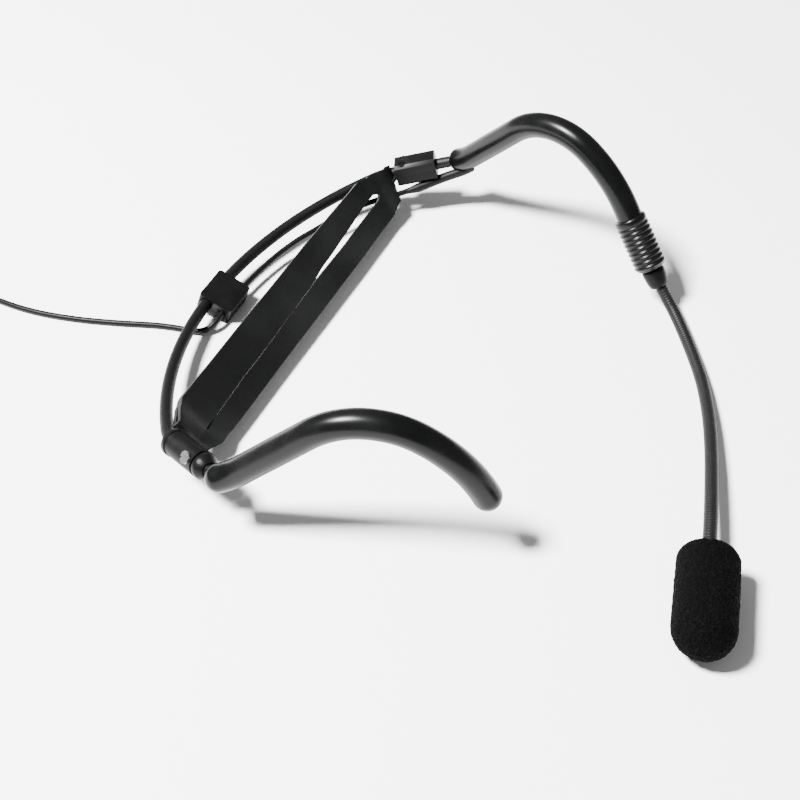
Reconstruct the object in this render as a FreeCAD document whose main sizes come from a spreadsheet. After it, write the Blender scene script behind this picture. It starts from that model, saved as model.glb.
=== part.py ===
# Behind-the-neck headset microphone, as a parametric FreeCAD document.
# Millimetres.  +X points to the wearer's mouth, +Y to the wearer's left, +Z up from the table.
# The origin is the middle of the footprint, on the table that the headset lies on.
import FreeCAD, Part
import math
import os

Vector = FreeCAD.Vector
Placement = FreeCAD.Placement
Rotation = FreeCAD.Rotation

document = FreeCAD.newDocument("headset_microphone")
sizes = document.addObject("Spreadsheet::Sheet", "sizes")
row = 0


def size(name, value):
    """Write one driving dimension into the sheet under its own name."""
    global row
    row += 1
    sizes.set("A%d" % row, name)
    sizes.set("B%d" % row, str(value))
    sizes.setAlias("B%d" % row, name)


# ---- driving dimensions -------------------------------------------------------------------
# neckband: a spring wire bent to one long arc, in a plane that rises towards the ears
size("neckband_back_x", -95.1)
size("neckband_back_z", 6.5)
size("neckband_tilt", 13.87)
size("neckband_radius", 107.1)
size("neckband_half_angle", 40.1)
size("end_bend_radius", 14.0)
size("end_bend_angle", 25.9)
size("joint_line_length", 25.3)
size("wire_radius", 0.9)
size("sleeve_radius", 2.0)
# joints at the two ends of the neckband, set out backwards from where each ear hook starts
size("barrel_radius", 4.1)
size("barrel_back", 25.0)
size("barrel_front", 9.2)
size("block_width", 8.8)
size("block_height", 8.2)
size("block_back", 23.2)
size("block_front", 8.5)
size("block_chamfer", 1.1)
size("stud_radius", 2.0)
size("stud_depth", 6.5)
size("stud_before_root", 1.0)
size("running_clearance", 0.05)
size("fit_clearance", 0.02)
size("body_gap", 0.35)
size("collar_radius", 3.9)
size("collar_length", 3.9)
size("collar_straight", 2.0)
size("collar_front_radius", 2.5)
size("wire_end_wall", 1.0)
size("end_clearance", 0.4)
size("barrel_rim_width", 1.5)
size("barrel_rim_height", 0.3)
size("screw_radius", 1.3)
size("screw_head_radius", 1.9)
size("screw_head_height", 1.4)
size("screw_seat_depth", 0.9)
size("screw_lean", 40.0)
size("screw_back", 12.0)
size("slot_width", 0.5)
size("slot_depth", 0.4)
size("block_screw_spread", 2.6)
size("block_screw_from_end", 3.0)
size("block_screw_sink", 1.2)
size("block_screw_foot", 0.8)
# ear hooks: a padded tube over a bent wire, in an upright plane that toes inwards
size("near_hook_toe", 18.2)
size("far_hook_toe", 16.4)
size("near_hook_pitch", 23.7)
size("far_hook_pitch", 28.3)
size("hook_rise_radius", 27.3)
size("hook_rise_turn", 16.3)
size("hook_top_run", 26.2)
size("hook_crook_radius", 24.95)
size("hook_crook_turn", 72.6)
size("hook_tail_radius", 47.6)
size("hook_tail_turn", 33.3)
size("hook_tube_radius", 4.2)
size("hook_core_radius", 1.1)
size("hook_core_end", 5.0)
size("inner_lead_radius", 0.7)
size("core_to_lead", 2.2)
# strap: two flat bands and a rolled hem at each end
size("strap_middle_x", -65.1)
size("strap_middle_z", 10.8)
size("strap_lean", 42.8)
size("strap_half_length", 61.0)
size("strap_thickness", 1.6)
size("strap_top", 9.3)
size("strap_bottom", -9.3)
size("slit_near", -3.1)
size("slit_middle", -1.4)
size("slit_half_width", 0.25)
size("gap_half_width", 1.5)
size("hem_radius", 2.4)
size("hem_from_end", 3.1)
size("hem_half_length", 8.2)
size("hem_stud_radius", 0.9)
size("hem_stud_from_end", 1.6)
# clip that slides on the neckband and guides the lead
size("clip_angle", -2.0)
size("clip_length", 14.0)
size("clip_outside", 3.0)
size("clip_inside", 9.2)
size("clip_below", 3.3)
size("clip_above", 2.9)
size("clip_lean", 35.7)
size("clip_corner", 1.2)
size("lead_offset", 6.3)
size("lead_radius", 1.0)
size("lead_leaves_band", 11.0)
size("lead_first_run", 6.0)
size("lead_from_front", 2.6)
size("gland_radius", 1.6)
size("gland_length", 4.0)
size("gland_behind", 1.6)
size("guide_clearance", 0.3)
# suspension, boom and microphone
size("suspension_wall", 0.55)
size("rib_height", 0.55)
size("suspension_length", 18.5)
size("suspension_overlap", 2.0)
size("rib_count", 9)
size("rib_width", 1.15)
size("bush_radius", 3.3)
size("bush_length", 7.5)
size("bush_floor", 1.5)
size("bush_stands_out", 0.4)
size("boot_stem_radius", 2.4)
size("boot_large_radius", 3.8)
size("boot_small_radius", 2.8)
size("boot_length", 6.5)
size("boom_in_boot", 4.0)
size("boom_radius", 2.0)
size("boom_bore_radius", 1.1)
size("foam_radius", 8.7)
size("foam_length", 34.5)
size("foam_from_boom", 1.0)
size("foam_bore_depth", 17.0)
size("foam_clearance", 0.105)
size("housing_radius", 3.6)
size("housing_length", 14.0)
size("housing_wall", 0.5)
size("housing_floor", 2.0)
size("capsule_length", 4.5)
size("grille_thickness", 0.6)
size("grille_hole_radius", 0.4)
size("grille_hole_circle", 1.6)
size("gasket_thickness", 0.6)
size("gasket_width", 0.7)
# free cable, its coil and its plug
size("coil_outer_radius", 16.2)
size("coil_inner_radius", 7.8)
size("coil_height", 8.2)
size("tie_width", 4.0)
size("tie_thickness", 1.0)
size("plug_radius", 4.8)
size("plug_lift", 0.2)
size("plug_bore_depth", 5.2)
size("plug_wall", 3.0)
size("plug_nose_radius", 4.0)
size("plug_nose_length", 8.0)
size("plug_body_length", 16.0)
size("plug_boot_length", 14.0)
size("plug_boot_small_radius", 2.1)
size("plug_boot_large_radius", 3.7)
size("plug_cavity_radius", 3.2)
size("contact_radius", 0.6)
size("contact_circle_radius", 1.7)
size("contact_length", 10.5)
size("contact_bore_depth", 7.5)
size("insulator_length", 10.0)
size("insulator_behind_nose", 4.0)
size("button_width", 3.0)
size("button_length", 5.0)
size("button_height", 1.6)
size("button_travel", 0.8)
size("button_stands_out", 0.2)
size("button_from_boot", 7.0)
size("button_gap", 0.2)
document.recompute()


def get(name):
    """The value that the sheet holds under this name."""
    return float(sizes.get(name))


parts = []


def keep(thing, label):
    """Name a finished sub-part; the label is also the name of its file."""
    thing.Label = label
    parts.append(thing)
    return thing


past = 1.0  # how far a cutting tool runs past the face that it opens


# ---- helpers ------------------------------------------------------------------------------
def bind(thing, field, value):
    """Set one size: a formula stays bound to the sheet, and a number is set as it is."""
    if isinstance(value, str):
        thing.setExpression(field, value)
    else:
        setattr(thing, field, value)


def along(point, direction, roll_to=None):
    """A placement at point whose own Z runs along direction, and own X towards roll_to."""
    z_axis = Vector(direction).normalize()
    if roll_to is None:
        return Placement(point, Rotation(Vector(0, 0, 1), z_axis))
    y_axis = z_axis.cross(Vector(roll_to)).normalize()
    x_axis = y_axis.cross(z_axis)
    return Placement(point, Rotation(x_axis, y_axis, z_axis, "ZXY"))


def cylinder(name, radius, height, place):
    """A cylinder along its placement's own Z."""
    thing = document.addObject("Part::Cylinder", name)
    bind(thing, "Radius", radius)
    bind(thing, "Height", height)
    thing.Placement = place
    return thing


def cone(name, radius_1, radius_2, height, place):
    """A cone whose sizes are bound to the sheet."""
    thing = document.addObject("Part::Cone", name)
    bind(thing, "Radius1", radius_1)
    bind(thing, "Radius2", radius_2)
    bind(thing, "Height", height)
    thing.Placement = place
    return thing


def ball(name, radius, place):
    """A sphere whose radius is bound to the sheet."""
    thing = document.addObject("Part::Sphere", name)
    bind(thing, "Radius", radius)
    thing.Placement = place
    return thing


def block(name, length, width, height, place):
    """A box along its own X, Y and Z, with its sides bound to the sheet."""
    thing = document.addObject("Part::Box", name)
    bind(thing, "Length", length)
    bind(thing, "Width", width)
    bind(thing, "Height", height)
    thing.Placement = place
    return thing


def fuse(name, things):
    """One solid from several that touch."""
    thing = document.addObject("Part::MultiFuse", name)
    thing.Shapes = things
    return thing


def cut(name, base, tools):
    """The base with every tool taken out of it, one after another."""
    thing = base
    for number, tool in enumerate(tools):
        step = document.addObject("Part::Cut", "%s_cut_%d" % (name, number))
        step.Base = thing
        step.Tool = tool
        thing = step
    return thing


def overlap(name, base, tool):
    """What two solids have in common."""
    thing = document.addObject("Part::Common", name)
    thing.Base = base
    thing.Tool = tool
    return thing


def sweep(name, edges, radius):
    """A round bar of the radius in the sheet along a smooth chain of edges."""
    route = document.addObject("Part::Feature", name + "_route")
    route.Shape = Part.Wire(edges)
    first = edges[0]
    start = first.valueAt(first.FirstParameter)
    heading = first.tangentAt(first.FirstParameter)
    ring = document.addObject("Part::Circle", name + "_ring")
    bind(ring, "Radius", radius)
    ring.Placement = along(start, heading)
    thing = document.addObject("Part::Sweep", name)
    thing.Sections = [ring]
    thing.Spine = (route, ["Edge%d" % (n + 1) for n in range(len(edges))])
    thing.Solid = True
    thing.Frenet = False
    return thing


def flat_path(start, ahead, up, heading, steps):
    """Edges in one plane: each step is (length,) for a run or (radius, turn) for an arc."""
    edges = []
    place = Vector(start)
    angle = math.radians(heading)
    for step in steps:
        forward = ahead * math.cos(angle) + up * math.sin(angle)
        if len(step) == 1:
            goal = place + forward * step[0]
            edges.append(Part.makeLine(place, goal))
        else:
            radius, turn = step[0], math.radians(step[1])
            side = 1.0 if turn > 0 else -1.0
            left = up * math.cos(angle) - ahead * math.sin(angle)
            centre = place + left * radius * side

            def on_arc(share):
                now = angle + turn * share
                outward = up * math.cos(now) - ahead * math.sin(now)
                return centre - outward * radius * side

            goal = on_arc(1.0)
            edges.append(Part.Arc(place, on_arc(0.5), goal).toShape())
            angle += turn
        place = goal
    forward = ahead * math.cos(angle) + up * math.sin(angle)
    return edges, place, forward


def rounded_route(name, points, share=0.45):
    """Straight runs through hand-chosen points, joined by the largest tangent arcs."""
    points = [Vector(*point) for point in points]
    edges = []
    radii = []
    place = points[0]
    for before, corner, after in zip(points, points[1:], points[2:]):
        back = (before - corner)
        on = (after - corner)
        shorter = min(back.Length, on.Length)
        back.normalize()
        on.normalize()
        turn = math.pi - back.getAngle(on)
        reach = share * shorter
        radius = reach / math.tan(turn / 2)
        radii.append(radius)
        start = corner + back * reach
        end = corner + on * reach
        inward = (back + on).normalize()
        to_centre = math.hypot(reach, radius)
        middle = corner + inward * (to_centre - radius)
        edges.append(Part.makeLine(place, start))
        edges.append(Part.Arc(start, middle, end).toShape())
        place = end
    edges.append(Part.makeLine(place, points[-1]))
    print(name, "arc radii:", [round(radius, 1) for radius in radii])
    return edges


def check_tube(name, edges, thing, radius):
    """Compare a tube's volume with its section times its length."""
    length = sum(edge.Length for edge in edges)
    expected = math.pi * radius ** 2 * length
    print(name, "length %.1f" % length, "volume ratio %.4f" % (thing.Shape.Volume / expected))


# ---- the neckband's plane -----------------------------------------------------------------
tilt = math.radians(get("neckband_tilt"))
back_point = Vector(get("neckband_back_x"), 0, get("neckband_back_z"))
plane_ahead = Vector(math.cos(tilt), 0, math.sin(tilt))
plane_side = Vector(0, 1, 0)
plane_up = Vector(-math.sin(tilt), 0, math.cos(tilt))
arc_centre = back_point + plane_ahead * get("neckband_radius")


def on_arc_of(radius, angle, rise=0.0):
    """A point of a circle about the neckband's own axis; angle 0 is the back."""
    angle = math.radians(angle)
    out = -plane_ahead * math.cos(angle) + plane_side * math.sin(angle)
    return arc_centre + out * radius + plane_up * rise


def tangent_at(angle):
    """The direction along the neckband, towards the far side, at this angle."""
    angle = math.radians(angle)
    return plane_ahead * math.sin(angle) + plane_side * math.cos(angle)


def neckband_steps(line):
    """From the middle of the back to a joint: the long arc, the end bend, the straight."""
    return [(get("neckband_radius"), -get("neckband_half_angle")),
            (get("end_bend_radius"), -get("end_bend_angle")),
            (line,)]


def half_band(side, stop):
    """One half of the neckband; side is +1 for far, -1 for near; stop is short of the hook."""
    line = get("joint_line_length") - stop
    return flat_path(back_point, plane_side * side, -plane_ahead, 0.0, neckband_steps(line))


near_root, near_axis = half_band(-1, 0.0)[1:]
far_root, far_axis = half_band(+1, 0.0)[1:]


def reversed_edges(edges):
    """The same chain walked the other way."""
    turned = []
    for edge in reversed(edges):
        ends = [edge.valueAt(edge.LastParameter), edge.valueAt(edge.FirstParameter)]
        middle = edge.valueAt((edge.FirstParameter + edge.LastParameter) / 2)
        if isinstance(edge.Curve, Part.Line):
            turned.append(Part.makeLine(ends[0], ends[1]))
        else:
            turned.append(Part.Arc(ends[0], middle, ends[1]).toShape())
    return turned


def whole_band(near_stop, far_stop):
    """The neckband from near joint to far joint, as one chain of edges."""
    near_half = half_band(-1, near_stop)[0]
    far_half = half_band(+1, far_stop)[0]
    return reversed_edges(near_half) + far_half


wire_near_stop = get("barrel_front") + get("stud_depth") + get("wire_end_wall")
wire_far_stop = get("block_front") + get("stud_depth") + get("wire_end_wall")
wire_route = whole_band(wire_near_stop, wire_far_stop)
sleeve_route = whole_band(get("barrel_back"), get("block_back"))

neckband_wire = sweep("wire_bar", wire_route, "sizes.wire_radius")
keep(neckband_wire, "neckband_wire")
sleeve_bar = sweep("sleeve_bar", sleeve_route, "sizes.sleeve_radius")
sleeve_bore = sweep("sleeve_bore", sleeve_route, "sizes.wire_radius + sizes.fit_clearance")
keep(cut("sleeve", sleeve_bar, [sleeve_bore]), "neckband_sleeve")
sleeve_room = sweep("sleeve_room", sleeve_route, "sizes.sleeve_radius + sizes.fit_clearance")


# ---- lead held by the headset: from the far block, behind the strap, to the clip ------------
def back_from(root, axis, distance):
    """A point on a joint's axis, this far back from where the hook starts."""
    return root - axis * distance


# the clip leans in and down from the neckband, and the lead lies in it on a smaller, lower circle
clip_lean = math.radians(get("clip_lean"))
lead_circle = get("neckband_radius") - get("lead_offset") * math.cos(clip_lean)
lead_rise = -get("lead_offset") * math.sin(clip_lean)
clip_half_angle = math.degrees(get("clip_length") / 2 / get("neckband_radius"))
clip_near_angle = get("clip_angle") - clip_half_angle
lead_leaves_band = get("lead_leaves_band")
lead_exit = on_arc_of(lead_circle, clip_near_angle, lead_rise)
lead_middle = on_arc_of(lead_circle, (clip_near_angle + lead_leaves_band) / 2, lead_rise)
lead_join = on_arc_of(lead_circle, lead_leaves_band, lead_rise)
lead_arc = Part.Arc(lead_exit, lead_middle, lead_join).toShape()
lead_run_end = lead_join + tangent_at(lead_leaves_band) * get("lead_first_run")
lead_points = [tuple(lead_join), tuple(lead_run_end),
               (-83.2, 32.0, 6.4), (-79.4, 39.6, 7.2), (-75.6, 48.0, 8.0), (-71.0, 56.4, 8.2),
               (-65.4, 64.4, 8.2), (-59.8, 69.4, 8.8), (-55.4, 73.4, 10.2)]
lead_in_block = get("block_height") / 2 + get("lead_radius") * 0.4
far_lead_stop = (back_from(far_root, far_axis, get("block_front") + get("lead_from_front"))
                 - plane_up * lead_in_block)
lead_points.append(tuple(far_lead_stop))
lead_route = [lead_arc] + rounded_route("mic lead", lead_points)
mic_lead = keep(sweep("mic_lead", lead_route, "sizes.lead_radius"), "mic_lead")
lead_room = sweep("lead_room", lead_route, "sizes.lead_radius + sizes.fit_clearance")


# ---- near joint: a round barrel -----------------------------------------------------------
def wire_hole(name, root, axis, back, stop):
    """The blind hole that a neckband end is held in."""
    place = along(back_from(root, axis, get(back) + past), axis)
    depth = get(back) + past - stop + get("end_clearance")
    return cylinder(name, "sizes.wire_radius + sizes.fit_clearance", depth, place)


def stud_hole(name, root, axis, front):
    """The running bore that a hook's stud turns in."""
    deep = get("stud_depth") + get("end_clearance")
    place = along(back_from(root, axis, get(front) + deep), axis)
    return cylinder(name, "sizes.stud_radius + sizes.running_clearance", deep + past, place)


barrel_place = along(back_from(near_root, near_axis, get("barrel_back")), near_axis, plane_up)
barrel_body = cylinder("barrel_body", "sizes.barrel_radius",
                       "sizes.barrel_back - sizes.barrel_front", barrel_place)
screw_lean = math.radians(get("screw_lean"))
screw_up = plane_up * math.cos(screw_lean) + near_axis.cross(plane_up) * math.sin(screw_lean)
near_screw_point = back_from(near_root, near_axis, get("screw_back"))
near_screw_seat = near_screw_point + screw_up * (get("barrel_radius") - get("screw_seat_depth"))
near_head = cylinder("near_screw_head", "sizes.screw_head_radius", "sizes.screw_head_height",
                     along(near_screw_seat, screw_up))
near_shank_foot = near_screw_point + screw_up * (get("stud_radius") + get("running_clearance"))
near_shank = cylinder("near_screw_shank", "sizes.wire_radius",
                      "sizes.barrel_radius - sizes.screw_seat_depth - sizes.stud_radius",
                      along(near_shank_foot, screw_up))
slot_floor = near_screw_seat + screw_up * (get("screw_head_height") - get("slot_depth"))
near_slot = block("near_screw_slot", "sizes.screw_head_radius * 3", "sizes.slot_width",
                  "sizes.slot_depth * 2", along(slot_floor, screw_up))
near_slot.Placement = near_slot.Placement.multiply(
    Placement(Vector(-get("screw_head_radius") * 1.5, -get("slot_width") / 2, 0), Rotation()))
near_screw = cut("near_screw", fuse("near_screw_blank", [near_head, near_shank]), [near_slot])
near_head_hole = cylinder("near_head_hole", "sizes.screw_head_radius + sizes.fit_clearance",
                          "sizes.barrel_radius", along(near_screw_seat, screw_up))
near_shank_hole = cylinder("near_shank_hole", "sizes.wire_radius + sizes.fit_clearance",
                           "sizes.barrel_radius", along(near_screw_point, screw_up))

# the strap's end is held on a short stud at the side of each joint
lean = math.radians(get("strap_lean"))
strap_middle = Vector(get("strap_middle_x"), 0, get("strap_middle_z"))
strap_up = Vector(-math.cos(lean), 0, math.sin(lean))
strap_along = Vector(0, 1, 0)
strap_face = strap_along.cross(strap_up)


def hem_centre(side):
    """The middle of the rolled hem at one end of the strap."""
    return strap_middle + strap_along * side * (get("strap_half_length") + get("hem_from_end"))


def hem_stud(name, side, holder_point):
    """A stud from inside a joint to the middle of its hem."""
    goal = hem_centre(side)
    reach = goal - holder_point
    return cylinder(name, "sizes.hem_stud_radius", reach.Length, along(holder_point, reach))


near_hem_hold = back_from(near_root, near_axis, get("barrel_back") - get("hem_stud_from_end"))
far_hem_hold = back_from(far_root, far_axis, get("block_back") - get("hem_stud_from_end"))
near_hem_stud = hem_stud("near_hem_stud", -1, near_hem_hold)
far_hem_stud = hem_stud("far_hem_stud", +1, far_hem_hold)

barrel_rim = cylinder("barrel_rim", "sizes.barrel_radius + sizes.barrel_rim_height",
                      "sizes.barrel_rim_width", barrel_place)
near_barrel = cut("near_barrel", fuse("barrel_blank", [barrel_body, barrel_rim, near_hem_stud]),
                  [sleeve_room,
                   wire_hole("near_wire_hole", near_root, near_axis, "barrel_back",
                             wire_near_stop),
                   stud_hole("near_stud_hole", near_root, near_axis, "barrel_front"),
                   near_head_hole, near_shank_hole])
keep(near_barrel, "near_joint_barrel")
keep(near_screw, "near_clamp_screw")

# ---- far joint: a rectangular block in two halves -----------------------------------------
block_length = "sizes.block_back - sizes.block_front"
far_side_axis = plane_up.cross(far_axis)
block_corner = (back_from(far_root, far_axis, get("block_back"))
                - far_side_axis * get("block_width") / 2 - plane_up * get("block_height") / 2)
block_turn = Rotation(far_axis, far_side_axis, plane_up, "XZY")
block_blank = block("block_blank", block_length, "sizes.block_width", "sizes.block_height",
                    Placement(block_corner, block_turn))
document.recompute()
long_edges = [number + 1 for number, edge in enumerate(block_blank.Shape.Edges)
              if abs(edge.tangentAt(edge.FirstParameter).dot(far_axis)) > 0.99]
block_chamfered = document.addObject("Part::Chamfer", "block_chamfered")
block_chamfered.Base = block_blank
block_chamfered.Edges = [(number, get("block_chamfer"), get("block_chamfer"))
                         for number in long_edges]
far_wire_hole = wire_hole("far_wire_hole", far_root, far_axis, "block_back", wire_far_stop)
far_stud_hole = stud_hole("far_stud_hole", far_root, far_axis, "block_front")
far_screw_row = back_from(far_root, far_axis, get("block_back") - get("block_screw_from_end"))
far_screw_points = [far_screw_row + far_side_axis * get("block_screw_spread") * side
                    for side in (-1, 1)]
far_screws = []
far_screw_holes = []
for number, point in enumerate(far_screw_points):
    top = point + plane_up * (get("block_height") / 2 - get("block_screw_sink"))
    foot = point - plane_up * (get("block_height") / 2 - get("block_screw_foot"))
    hole_foot = foot - plane_up * get("fit_clearance")
    head = cylinder("far_head_%d" % number, "sizes.screw_radius", "sizes.block_screw_sink - 0.2",
                    along(top, plane_up))
    shank = cylinder("far_shank_%d" % number, "sizes.screw_radius * 0.6",
                     (top - foot).Length + get("running_clearance"), along(foot, plane_up))
    far_screws.append(fuse("far_screw_%d" % number, [head, shank]))
    far_screw_holes.append(cylinder("far_head_hole_%d" % number,
                                    "sizes.screw_radius + sizes.fit_clearance",
                                    "sizes.block_height", along(top, plane_up)))
    far_screw_holes.append(cylinder("far_shank_hole_%d" % number,
                                    "sizes.screw_radius * 0.6 + sizes.fit_clearance",
                                    (top - hole_foot).Length + past, along(hole_foot, plane_up)))
block_room = 30.0  # wider than the block and its stud on every side
block_middle = block_corner + plane_up * get("block_height") / 2
upper_room = block("upper_room", block_room * 3, block_room * 2, block_room,
                   Placement(block_middle - (far_axis + far_side_axis) * block_room, block_turn))
block_with_stud = fuse("block_with_stud", [block_chamfered, far_hem_stud])
block_whole = cut("block_whole", block_with_stud,
                  [sleeve_room, lead_room, far_wire_hole, far_stud_hole] + far_screw_holes)
keep(overlap("block_upper", block_whole, upper_room), "far_block_cover")
keep(cut("block_lower", block_whole, [upper_room]), "far_block_base")
screws = document.addObject("Part::Compound", "far_screw_pair")
screws.Links = far_screws
keep(screws, "far_block_screws")


# ---- ear hooks ----------------------------------------------------------------------------
def hook_frame(side):
    """The directions ahead and up in the upright plane of one ear hook."""
    toe = math.radians(get("near_hook_toe" if side < 0 else "far_hook_toe"))
    return Vector(math.cos(toe), -side * math.sin(toe), 0), Vector(0, 0, 1)


def hook_route(side, root, pitch, shift=0.0, shorten=0.0):
    """The centre line of an ear hook, shifted sideways out of its plane and cut short."""
    ahead, up = hook_frame(side)
    across = ahead.cross(up)
    tail_turn = get("hook_tail_turn") - math.degrees(shorten / get("hook_tail_radius"))
    steps = [(get("hook_rise_radius"), get("hook_rise_turn")), (get("hook_top_run"),),
             (get("hook_crook_radius"), -get("hook_crook_turn")),
             (get("hook_tail_radius"), -tail_turn)]
    return flat_path(root + across * shift, ahead, up, pitch, steps)


def hook_stud(name, root, axis, front):
    """The stud that runs in the joint and ends just inside the hook's padded tube."""
    stud_place = along(back_from(root, axis, get(front) + get("stud_depth")), axis)
    length = get(front) + get("stud_depth") - get("stud_before_root")
    return cylinder(name + "_stud", "sizes.stud_radius", length, stud_place)


near_stud = hook_stud("near", near_root, near_axis, "barrel_front")
collar_place = along(back_from(near_root, near_axis, get("barrel_front") - get("body_gap")),
                     near_axis)
collar_body = cylinder("collar_body", "sizes.collar_radius", "sizes.collar_straight",
                       collar_place)
dome_place = along(collar_place.Base + near_axis * get("collar_straight"), near_axis)
collar_dome = cone("collar_dome", "sizes.collar_radius", "sizes.collar_front_radius",
                   "sizes.collar_length - sizes.collar_straight", dome_place)
collar_bore = cylinder("collar_bore", "sizes.stud_radius + sizes.fit_clearance",
                       get("collar_length") + 2 * past,
                       along(collar_place.Base - near_axis * past, near_axis))
keep(near_stud, "near_swivel_stud")
keep(cut("near_collar", fuse("near_collar_blank", [collar_body, collar_dome]), [collar_bore]),
     "near_collar")
far_stud = hook_stud("far", far_root, far_axis, "block_front")
keep(far_stud, "far_swivel_stud")


def hook_tube(name, side, root, axis, pitch, tools, closed_end):
    """The padded tube: a swept bar with a round start, and a round end where it is free."""
    route, end, heading = hook_route(side, root, pitch)
    bar = sweep(name + "_bar", route, "sizes.hook_tube_radius")
    lumps = [bar, ball(name + "_start", "sizes.hook_tube_radius", along(root, axis))]
    if closed_end:
        lumps.append(ball(name + "_tip", "sizes.hook_tube_radius", along(end, heading)))
    return cut(name, fuse(name + "_blank", lumps), tools)


def stud_room(name, root, axis):
    """The room for a stud in the round start of a padded tube."""
    length = get("hook_tube_radius") + past
    return cylinder(name, "sizes.stud_radius + sizes.fit_clearance", length,
                    along(back_from(root, axis, length + get("stud_before_root")), axis))


near_core_route = hook_route(-1, near_root, get("near_hook_pitch"),
                             shorten=get("hook_core_end"))[0]
near_core = sweep("near_core", near_core_route, "sizes.hook_core_radius")
near_core_room = sweep("near_core_room", near_core_route,
                       "sizes.hook_core_radius + sizes.fit_clearance")
near_stud_room = stud_room("near_stud_room", near_root, near_axis)
keep(near_core, "near_hook_core")
keep(hook_tube("near_tube", -1, near_root, near_axis, get("near_hook_pitch"),
               [near_core_room, near_stud_room], True), "near_hook_tube")

lead_shift = get("core_to_lead") / 2
far_core_route = hook_route(+1, far_root, get("far_hook_pitch"), -lead_shift)[0]
far_lead_route = hook_route(+1, far_root, get("far_hook_pitch"), lead_shift)[0]
far_core = sweep("far_core", far_core_route, "sizes.hook_core_radius")
far_core_room = sweep("far_core_room", far_core_route,
                      "sizes.hook_core_radius + sizes.fit_clearance")
far_lead = sweep("far_lead", far_lead_route, "sizes.inner_lead_radius")
far_lead_room = sweep("far_lead_room", far_lead_route,
                      "sizes.inner_lead_radius + sizes.fit_clearance")
far_stud_room = stud_room("far_stud_room", far_root, far_axis)
keep(far_core, "far_hook_core")
keep(far_lead, "hook_inner_lead")
far_tube_route, far_tip, suspension_axis = hook_route(+1, far_root, get("far_hook_pitch"))
keep(hook_tube("far_tube", +1, far_root, far_axis, get("far_hook_pitch"),
               [far_core_room, far_lead_room, far_stud_room], False), "far_hook_tube")

# ---- suspension: a ribbed rubber sleeve over the end of the far hook -----------------------
# its upper part grips the hook's tube; its lower part holds the bush that the boom turns in
suspension_lean = Vector(0.15, -0.08, 0.04)  # the soft sleeve leans this much off the tube's end
sleeve_axis = (suspension_axis + suspension_lean).normalize()
sleeve_top = far_tip - sleeve_axis * get("suspension_overlap")
root_radius = "sizes.hook_tube_radius + sizes.suspension_wall"
ribbed = [cylinder("suspension_root", root_radius, "sizes.suspension_length",
                   along(sleeve_top, sleeve_axis))]
rib_count = int(get("rib_count"))
rib_pitch = (get("suspension_length") - get("rib_width")) / (rib_count - 1)
for number in range(rib_count):
    rib_place = along(sleeve_top + sleeve_axis * rib_pitch * number, sleeve_axis)
    ribbed.append(cylinder("suspension_rib_%d" % number, root_radius + " + sizes.rib_height",
                           "sizes.rib_width", rib_place))
tip_room = sweep("tip_room", far_tube_route, "sizes.hook_tube_radius + sizes.fit_clearance")
bush_end = sleeve_top + sleeve_axis * (get("suspension_length") + get("bush_stands_out"))
bush_start = bush_end - sleeve_axis * get("bush_length")
bush_room = cylinder("bush_room", "sizes.bush_radius + sizes.fit_clearance",
                     get("bush_length") + past, along(bush_start, sleeve_axis))
keep(cut("suspension", fuse("suspension_blank", ribbed), [tip_room, bush_room]),
     "suspension_sleeve")
bush_body = cylinder("bush_body", "sizes.bush_radius", "sizes.bush_length",
                     along(bush_start, sleeve_axis))
stem_depth = get("bush_length") - get("bush_floor")
stem_clear_depth = stem_depth + get("end_clearance")
stem_room = cylinder("stem_room", "sizes.boot_stem_radius + sizes.running_clearance",
                     stem_clear_depth + past,
                     along(bush_end - sleeve_axis * stem_clear_depth, sleeve_axis))
keep(cut("bush", bush_body, [stem_room]), "suspension_bush")

# ---- boom: a tapered boot on a stem, and a gooseneck to the microphone ---------------------
boot_start = bush_end + sleeve_axis * get("body_gap")
boot_end = boot_start + sleeve_axis * get("boot_length")
boot_cone = cone("boot_cone", "sizes.boot_large_radius", "sizes.boot_small_radius",
                 "sizes.boot_length", along(boot_start, sleeve_axis))
stem_length = stem_depth + get("body_gap")
stem_place = along(boot_start - sleeve_axis * stem_length, sleeve_axis)
boot_stem = cylinder("boot_stem", "sizes.boot_stem_radius", stem_length + past, stem_place)
boom_start = boot_start + sleeve_axis * (get("boot_length") - get("boom_in_boot"))

# the boom's route is chosen by hand: ahead and aside of the boot's end, and its height
mic_height = get("foam_radius")
boom_points = [(3.2, -1.2, 5.2), (7.8, -5.4, 3.1), (15.2, -16.0, 2.15), (23.6, -30.6, 2.7),
               (29.7, -45.7, 4.2), (34.5, -61.2, 6.0), (38.9, -78.4, 7.7),
               (42.3, -92.4, mic_height), (44.4, -102.0, mic_height)]
boom_route_points = [tuple(boom_start)]
for ahead, aside, height in boom_points:
    boom_route_points.append((boot_end.x + ahead, boot_end.y + aside, height))
boom_route = rounded_route("boom", boom_route_points)
boot_room = sweep("boot_room", boom_route, "sizes.boom_radius + sizes.fit_clearance")
keep(cut("boot", fuse("boot_blank", [boot_cone, boot_stem]), [boot_room]), "boom_boot")
gooseneck_bar = sweep("gooseneck_bar", boom_route, "sizes.boom_radius")
gooseneck_bore = sweep("gooseneck_bore", boom_route, "sizes.boom_bore_radius")
keep(cut("gooseneck", gooseneck_bar, [gooseneck_bore]), "boom_gooseneck")
boom_core_radius = "sizes.boom_bore_radius - sizes.fit_clearance"
boom_core = keep(sweep("boom_core", boom_route, boom_core_radius), "boom_core")

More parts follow.
